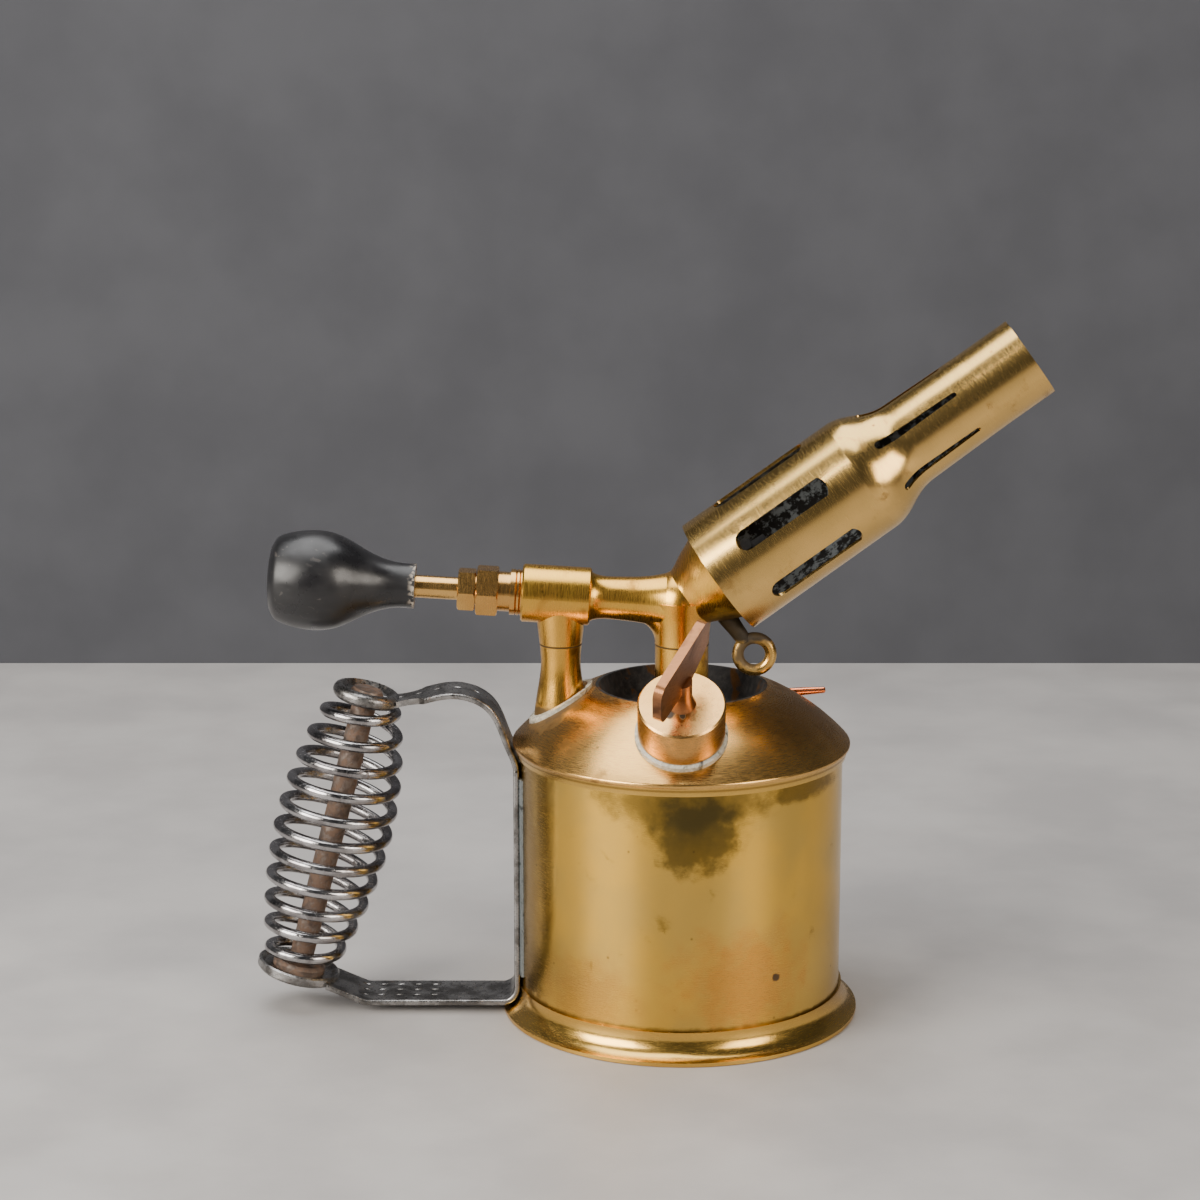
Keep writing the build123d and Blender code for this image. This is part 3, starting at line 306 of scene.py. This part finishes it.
dome_marks = [
    (mark_band(0, 79.6, 0.25, 0.9), "DDB25A", 0.22, 1.0),
    # Painted shade: a thin brown line in the cove under the rolled rim.
    (mark_band(78.6, 79.3, 0.3, 0.6), "6A4A22", 0.4, 1.0),
    (mark_patch((-38, -6, 92), (9, 10, 6), 0.4, 3.0, 1.4, 0.75), "3A332E", 0.6, 0.6),
    (mark_patch((0, 0, 99), (26.6, 26.6, 4.2), 0.1, 3.0, 0.5, 0.8), "3A2A20", 0.5, 0.7),
    # Painted shade: a soft brown patch darkens the right side of the dome.
    (mark_patch((34, -12, 90), (16, 18, 8), 0.6, 6.0, 1.4, 0.5), "7A5434", 0.36, 1.0),
]
finishes["spun_brass"] = brass(
    "satin_spun_brass", "E0B066", "D4A45C", "8A6234", dull=0.27, film_share=0.35, marks=dome_marks
)
print("finishes", sorted(finishes))

# %% [markdown]
# The burner runs hot. Its brass is satin with brown heat tints, and its inside is black with flakes of
# grey oxide. The casting has copper-coloured tints above and soot below, and the eye hangs in the soot.

# %% Burner, casting and small brass
inner = mark_inside(BURNER_AXIS, BURNER_POINT)
oxide = mark_inside(BURNER_AXIS, BURNER_POINT, 0.8, 3.0, 0.47, 0.56)
finishes["burner_brass"] = brass(
    "heat_tinted_brass", "E2B86E", "D4AE66", "8A6434", BURNER_AXIS, BURNER_POINT, dull=0.22, film_share=0.4,
    marks=[(inner, "14110E", 0.8, 0.1), (oxide, "8E9496", 0.85, 0.0)],
)
casting_marks = [
    (mark_patch((-4, -6, 134), (9, 9, 5), 0.5, 3.0, 1.6, 0.6), "C88A48", 0.3, 1.0),
    (mark_patch((2, -9, 118), (5, 5, 8), 0.5, 3.0, 1.6, 0.7), "D09444", 0.26, 1.0),
    (mark_patch((15, 0, 117), (8, 16, 5), 0.4, 3.0, 1.2, 0.85), "17120E", 0.6, 0.4),
    (mark_patch((10, 2, 104), (5, 9, 9), 0.4, 2.0, 1.2, 0.8), "1C1612", 0.6, 0.3),
    (mark_band(85, 91.5, 0.8, 0.85, ragged_mm=4.0), "1E1814", 0.65, 0.3),
    (mark_band(109.0, 109.6, 0.15, 0.9), "1C140C", 0.6, 0.5),
    (mark_patch((-30.5, -5.5, 108), (1.6, 2.5, 1.4), 0.4, 1.0, 0.8, 0.7), "5A3A1E", 0.4, 1.0),
]
finishes["cast_brass"] = brass(
    "bright_cast_brass", "E6B54C", "DDA84C", "9A6A2E", VALVE_AXIS, VALVE_POINT, dull=0.27, film_share=0.35,
    marks=casting_marks,
)
finishes["turned_brass"] = brass(
    "turned_brass", "DFB26A", "CF9E5A", "7E5C34", VALVE_AXIS, VALVE_POINT, dull=0.24, film_share=0.35
)
CAP_TOP = 13.0
cap_top = FILLER_POINT / MM + FILLER_AXIS * CAP_TOP
left_smudge = cap_top + Vector((-3.2, -3.4, -1.6))
right_smudge = cap_top + Vector((0.2, -3.6, -2.2))
cap_marks = [
    (mark_patch(left_smudge, (1.3, 1.9, 1.9), 0.25, 1.5, 1.1, 0.95), "1C1A1A", 0.5, 0.2),
    (mark_patch(right_smudge, (0.8, 1.6, 1.6), 0.25, 1.2, 1.1, 0.95), "1C1A1A", 0.5, 0.2),
]
finishes["cap_brass"] = brass(
    "satin_turned_cap_brass", "DCAC6A", "D0A05E", "8A5E38", FILLER_AXIS, FILLER_POINT,
    dull=0.27, film_share=0.25, marks=cap_marks,
)
finishes["bronze"] = brass("brown_bronze", "B27C52", "9A6A48", "4E3426", dull=0.32, film_share=0.6)
ring_low, ring_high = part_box("eye_plug")
stem_top = ring_high.z / MM
eye_centre = (ring_low.x / MM + 12.5, 0, ring_low.z / MM + 6.5)
eye_marks = [
    (mark_band(stem_top - 14.5, stem_top + 5, 1.0, 0.95, ragged_mm=3.0), "120F0D", 0.6, 0.2),
    (mark_patch(eye_centre, (4.2, 9, 4.2), 0.2, 2.0, 0.9, 0.85), "2A2624", 0.65, 0.2),
]
finishes["eye_brass"] = brass(
    "sooted_eye_brass", "DDB468", "C99A50", "4A3620", dull=0.26, film_share=0.6, marks=eye_marks
)
PIN_AXIS = Vector((1, 0, 0))
finishes["copper"] = brass(
    "drawn_copper", "F0946A", "E08458", "9A5234", PIN_AXIS, dull=0.25, film_share=0.3
)
print("finishes", sorted(finishes))

# %% [markdown]
# Soot is not a metal: it is a black, rough crust that breaks away in flakes over brown brass.


# %% Soot, solder, steel
def crust(name, base, flake, under, dull, size_mm, metallic):
    """A broken crust over a metal."""
    material, tree, shader = new_material(name)
    here = object_point(tree)
    cloud = noise(tree, here, size_mm, 8.0, 0.65, bend=0.6)
    fine = noise(tree, here, size_mm / 5, 6.0, 0.7)
    tone = blend(tree, stretch(tree, fine, 0.35, 0.7), colour(base), colour(flake))
    worn = stretch(tree, cloud, 0.56, 0.66)
    tone = blend(tree, worn, tone, colour(under))
    height = math_node(tree, "ADD", cloud, math_node(tree, "MULTIPLY", fine, 0.5))
    rough = stretch(tree, fine, 0.3, 0.7, dull - 0.12, dull + 0.1)
    metal = math_node(tree, "MULTIPLY", worn, metallic) if metallic else 0.0
    relief = bump(tree, height, 0.12, 0.7)
    connect(tree, shader, Base_Color=tone, Roughness=rough, Metallic=metal, Normal=relief)
    return material


DIMPLE_HALF_LENGTH, DIMPLE_HALF_WIDTH = 1.7, 1.25


def dimples(tree, here, first_mm, last_mm, pitch_mm, rows_mm, width_mm, low_mm, high_mm):
    """Rows of pressed oval hollows: 1 in the middle of each, placed by their pitch along X and Y."""
    split = add(tree, "ShaderNodeSeparateXYZ", {0: here})
    from_first = math_node(tree, "SUBTRACT", split.outputs["X"], first_mm * MM)
    steps = math_node(tree, "DIVIDE", from_first, pitch_mm * MM)
    off_x = math_node(tree, "SUBTRACT", steps, math_node(tree, "ROUND", steps))
    rows = math_node(tree, "DIVIDE", split.outputs["Y"], rows_mm * MM)
    off_y = math_node(tree, "SUBTRACT", rows, math_node(tree, "ROUND", rows))
    far_x = math_node(tree, "MULTIPLY", off_x, pitch_mm / DIMPLE_HALF_LENGTH)
    far_y = math_node(tree, "MULTIPLY", off_y, rows_mm / DIMPLE_HALF_WIDTH)
    squares = [math_node(tree, "POWER", far, 2) for far in (far_x, far_y)]
    far = math_node(tree, "SQRT", math_node(tree, "ADD", *squares))
    cup = stretch(tree, far, 1.0, 0.25)
    limits = (
        ("X", first_mm - pitch_mm / 2, last_mm + pitch_mm / 2),
        ("Y", -width_mm / 2, width_mm / 2),
        ("Z", low_mm, high_mm),
    )
    for part, low, high in limits:
        cup = math_node(tree, "MULTIPLY", cup, math_node(tree, "GREATER_THAN", split.outputs[part], low * MM))
        cup = math_node(tree, "MULTIPLY", cup, math_node(tree, "LESS_THAN", split.outputs[part], high * MM))
    return cup


def steel(name, bright, dark, rust, rust_share, dull, size_mm=7.0, depth_mm=0.03, rows=()):
    """Old steel: grey, darker in patches, rusty where no hand polishes it; rows are rows of dimples."""
    material, tree, shader = new_material(name)
    here = object_point(tree)
    cloud = noise(tree, here, size_mm, 6.0, 0.6, bend=0.3)
    fine = noise(tree, here, 0.8, 5.0, 0.7)
    tone = blend(tree, stretch(tree, cloud, 0.4, 0.62), colour(bright), colour(dark))
    rusty = noise(tree, here, size_mm * 0.6, 8.0, 0.7)
    mask = stretch(tree, rusty, 0.72 - 0.3 * rust_share, 0.82 - 0.3 * rust_share)
    tone = blend(tree, mask, tone, colour(rust))
    rough = stretch(tree, fine, 0.3, 0.7, dull - 0.08, dull + 0.12)
    rough = math_node(tree, "ADD", rough, math_node(tree, "MULTIPLY", mask, 0.3), clamp=True)
    metal = math_node(tree, "SUBTRACT", 1.0, math_node(tree, "MULTIPLY", mask, 0.75))
    height = math_node(tree, "MULTIPLY", math_node(tree, "ADD", fine, mask), depth_mm)
    for row in rows:
        cup = dimples(tree, here, *row)
        height = math_node(tree, "SUBTRACT", height, math_node(tree, "MULTIPLY", cup, 0.5))
    relief = bump(tree, height, 1.0, 0.9)
    connect(tree, shader, Base_Color=tone, Roughness=rough, Metallic=metal, Normal=relief)
    return material


finishes["sooted_brass"] = crust("sooty_brass", "0C0B0B", "3A3735", "6A4A2A", 0.75, 9.0, 0.9)
finishes["solder"] = crust("dull_solder", "A9A290", "D8D2C0", "1E1B18", 0.3, 5.0, 0.0)
finishes["dark_solder"] = crust("dark_solder", "4C5254", "858A8A", "2A2C2C", 0.4, 2.0, 0.2)
run_rows = (-92.5, -72.0, 5.1, 4.4, 14.0, 1.0, 12.0)
arch_rows = (-86.0, -54.0, 5.3, 60.0, 6.0, 80.0, 110.0)
finishes["dark_steel"] = steel(
    "worn_strip_steel", "A8A6A4", "6E6B68", "5A4436", 0.4, 0.3, rows=[run_rows, arch_rows]
)
finishes["steel_wire"] = steel("polished_steel_wire", "B8B6B6", "807C7C", "4E3A30", 0.35, 0.17, 9.0)
finishes["rusty_steel"] = steel("rusty_steel", "8E8178", "6E6058", "7E6656", 0.9, 0.5, 4.0, 0.08)


# %% [markdown]
# The knob is turned wood under black lacquer. Handling has polished it, scratched it and chipped the
# edge at its neck, where pale wood shows.


# %% Wood, leather, cotton and packing
def lacquer(name):
    """Black lacquer over turned wood."""
    material, tree, shader = new_material(name)
    here = along_axis(tree, VALVE_AXIS, VALVE_POINT)
    grain = noise(tree, here, 5.0, 6.0, 0.6, stretch_by=(1, 1, 0.12))
    cloud = noise(tree, here, 12.0, 5.0, 0.6)
    tone = blend(tree, stretch(tree, grain, 0.4, 0.7), colour("0E0E10"), colour("1B1A1C"))
    scratch = noise(tree, here, 2.2, 2.0, 0.4, stretch_by=(1, 0.15, 0.8), bend=1.5)
    thin = stretch(tree, scratch, 0.66, 0.70)
    scratches = math_node(tree, "MULTIPLY", thin, stretch(tree, cloud, 0.45, 0.6))
    tone = blend(tree, math_node(tree, "MULTIPLY", scratches, 0.5), tone, colour("55504C"))
    height_along = add(tree, "ShaderNodeSeparateXYZ", {0: here}).outputs["Z"]
    near_neck = stretch(tree, height_along, 2.2 * MM, 0.2 * MM)
    broken = stretch(tree, noise(tree, here, 1.6, 3.0), 0.45, 0.6)
    chips = math_node(tree, "MULTIPLY", near_neck, broken)
    tone = blend(tree, chips, tone, colour("A59A8C"))
    rough = stretch(tree, cloud, 0.35, 0.65, 0.24, 0.44)
    rough = math_node(tree, "ADD", rough, math_node(tree, "MULTIPLY", chips, 0.4), clamp=True)
    cuts = math_node(tree, "MULTIPLY", scratches, 0.6)
    height = math_node(tree, "SUBTRACT", math_node(tree, "MULTIPLY", grain, 0.5), cuts)
    relief = bump(tree, height, 0.06, 0.6)
    connect(tree, shader, Base_Color=tone, Roughness=rough, Normal=relief)
    connect(tree, shader, Coat_Weight=0.25, Coat_Roughness=0.3)
    return material


finishes["black_wood"] = lacquer("black_lacquered_wood")
finishes["leather"] = crust("oiled_leather", "4A2C18", "6A4426", "3A2414", 0.6, 2.0, 0.0)
finishes["cotton"] = crust("cotton_wick", "CFC6B4", "E4DCCB", "A89C86", 0.9, 1.2, 0.0)
finishes["graphite"] = crust("graphited_packing", "1C1C1E", "3C3C40", "141414", 0.5, 1.0, 0.0)
print("finishes", sorted(finishes))

# %% [markdown]
# Every node takes the finish that its record slot names. The cap and the filler neck share one whose
# brushing turns about the filler's axis, the eye plug is sooted, and the strap's solder is darker.

# %% Dress the nodes
slots = {part["node"]: part["material_slot"] for part in frame["record"]["subparts"]}
special = {
    "filler_cap": "cap_brass",
    "filler_neck": "cap_brass",
    "eye_plug": "eye_brass",
    "strap_solder": "dark_solder",
}
for name, piece in frame["nodes"].items():
    finish = finishes[special.get(name, slots[name])]
    piece.data.materials.clear()
    piece.data.materials.append(finish)
print("dressed", len(frame["nodes"]))

# %% [markdown]
# The floor is a plain pale sheet and the backdrop a plain grey one. They only stage the lamp, and the
# backdrop is clear from behind.

# %% Floor and backdrop
def plain(name, tone, rough):
    """A sheet of one colour with a faint cloud."""
    material, tree, shader = new_material(name)
    cloud = noise(tree, object_point(tree), 60.0, 6.0)
    shade = blend(tree, stretch(tree, cloud, 0.3, 0.7), colour(tone[0]), colour(tone[1]))
    connect(tree, shader, Base_Color=shade, Roughness=rough)
    return material


def one_sided(material):
    """Make a sheet clear from behind, so that it hides nothing when the lamp is seen from the back."""
    tree = material.node_tree
    output = next(node for node in tree.nodes if node.type == "OUTPUT_MATERIAL")
    shader = next(node for node in tree.nodes if node.type == "BSDF_PRINCIPLED")
    clear = add(tree, "ShaderNodeBsdfTransparent")
    behind = add(tree, "ShaderNodeNewGeometry").outputs["Backfacing"]
    mix = add(tree, "ShaderNodeMixShader", {0: behind, 1: shader.outputs[0], 2: clear.outputs[0]})
    tree.links.new(mix.outputs[0], output.inputs["Surface"])
    return material


FLOOR_SIZE = 6
bpy.ops.mesh.primitive_plane_add(size=FLOOR_SIZE, location=(0, 0, 0))
floor = bpy.context.object
floor.name = "floor"
floor.data.materials.append(plain("pale_floor", ("A5A2A1", "B5B2B0"), 0.5))

WALL_Y, WALL_HEIGHT, WALL_WIDTH = 0.418, 0.45, 3.0
bpy.ops.mesh.primitive_plane_add(
    size=1, location=(0, WALL_Y, WALL_HEIGHT / 2), rotation=(math.radians(90), 0, 0)
)
backdrop = bpy.context.object
backdrop.name = "backdrop"
backdrop.scale = (WALL_WIDTH, WALL_HEIGHT, 1)
bpy.ops.object.transform_apply(location=True, rotation=True, scale=True)
backdrop.data.materials.append(one_sided(plain("grey_backdrop", ("424348", "4A4B50"), 0.8)))
print("stage", floor.name, backdrop.name)

# %% [markdown]
# Soft light comes from large panels: the main one high on the left, one above, and a weaker one in front
# on the right. A dim grey world fills the shadows.

# %% Lights
def panel(name, place, aim, size, watts, tint="FFFFFF"):
    """A soft rectangular light that faces a point; its place, aim and size are in metres."""
    light = bpy.data.lights.new(name, "AREA")
    light.shape = "RECTANGLE"
    light.size, light.size_y = size
    light.energy = watts
    light.color = colour(tint)[:3]
    lamp = bpy.data.objects.new(name, light)
    lamp.location = place
    lamp.rotation_euler = (Vector(aim) - Vector(place)).to_track_quat("-Z", "Y").to_euler()
    bpy.context.scene.collection.objects.link(lamp)
    return lamp


panel("left window", (-0.9, -0.7, 0.6), (0, 0, 0.1), (0.8, 0.7), 24, "FFFAF2")
panel("right front", (0.85, -0.8, 0.55), (0, 0, 0.08), (0.6, 0.7), 9, "FFF6EA")
panel("overhead", (-0.15, 0.1, 1.15), (0, 0, 0.1), (1.1, 0.9), 14)
world = bpy.data.worlds.new("studio")
bpy.context.scene.world = world
world.use_nodes = True
world.node_tree.nodes["Background"].inputs["Color"].default_value = colour("8A8C90")
world.node_tree.nodes["Background"].inputs["Strength"].default_value = 0.22

# %% [markdown]
# The camera stands in front of the filler, a little above the lamp, with a long lens.

# %% Camera
CAMERA_PLACE = (-0.0235, -0.839, 0.311)
LOOKS_DOWN = 12.69
LENS_MM, SENSOR_MM = 90, 36
camera = bpy.data.objects.new("camera", bpy.data.cameras.new("camera"))
camera.data.lens = LENS_MM
camera.data.sensor_width = SENSOR_MM
camera.location = CAMERA_PLACE
camera.rotation_euler = (math.radians(90 - LOOKS_DOWN), 0, 0)
bpy.context.scene.collection.objects.link(camera)
bpy.context.scene.camera = camera
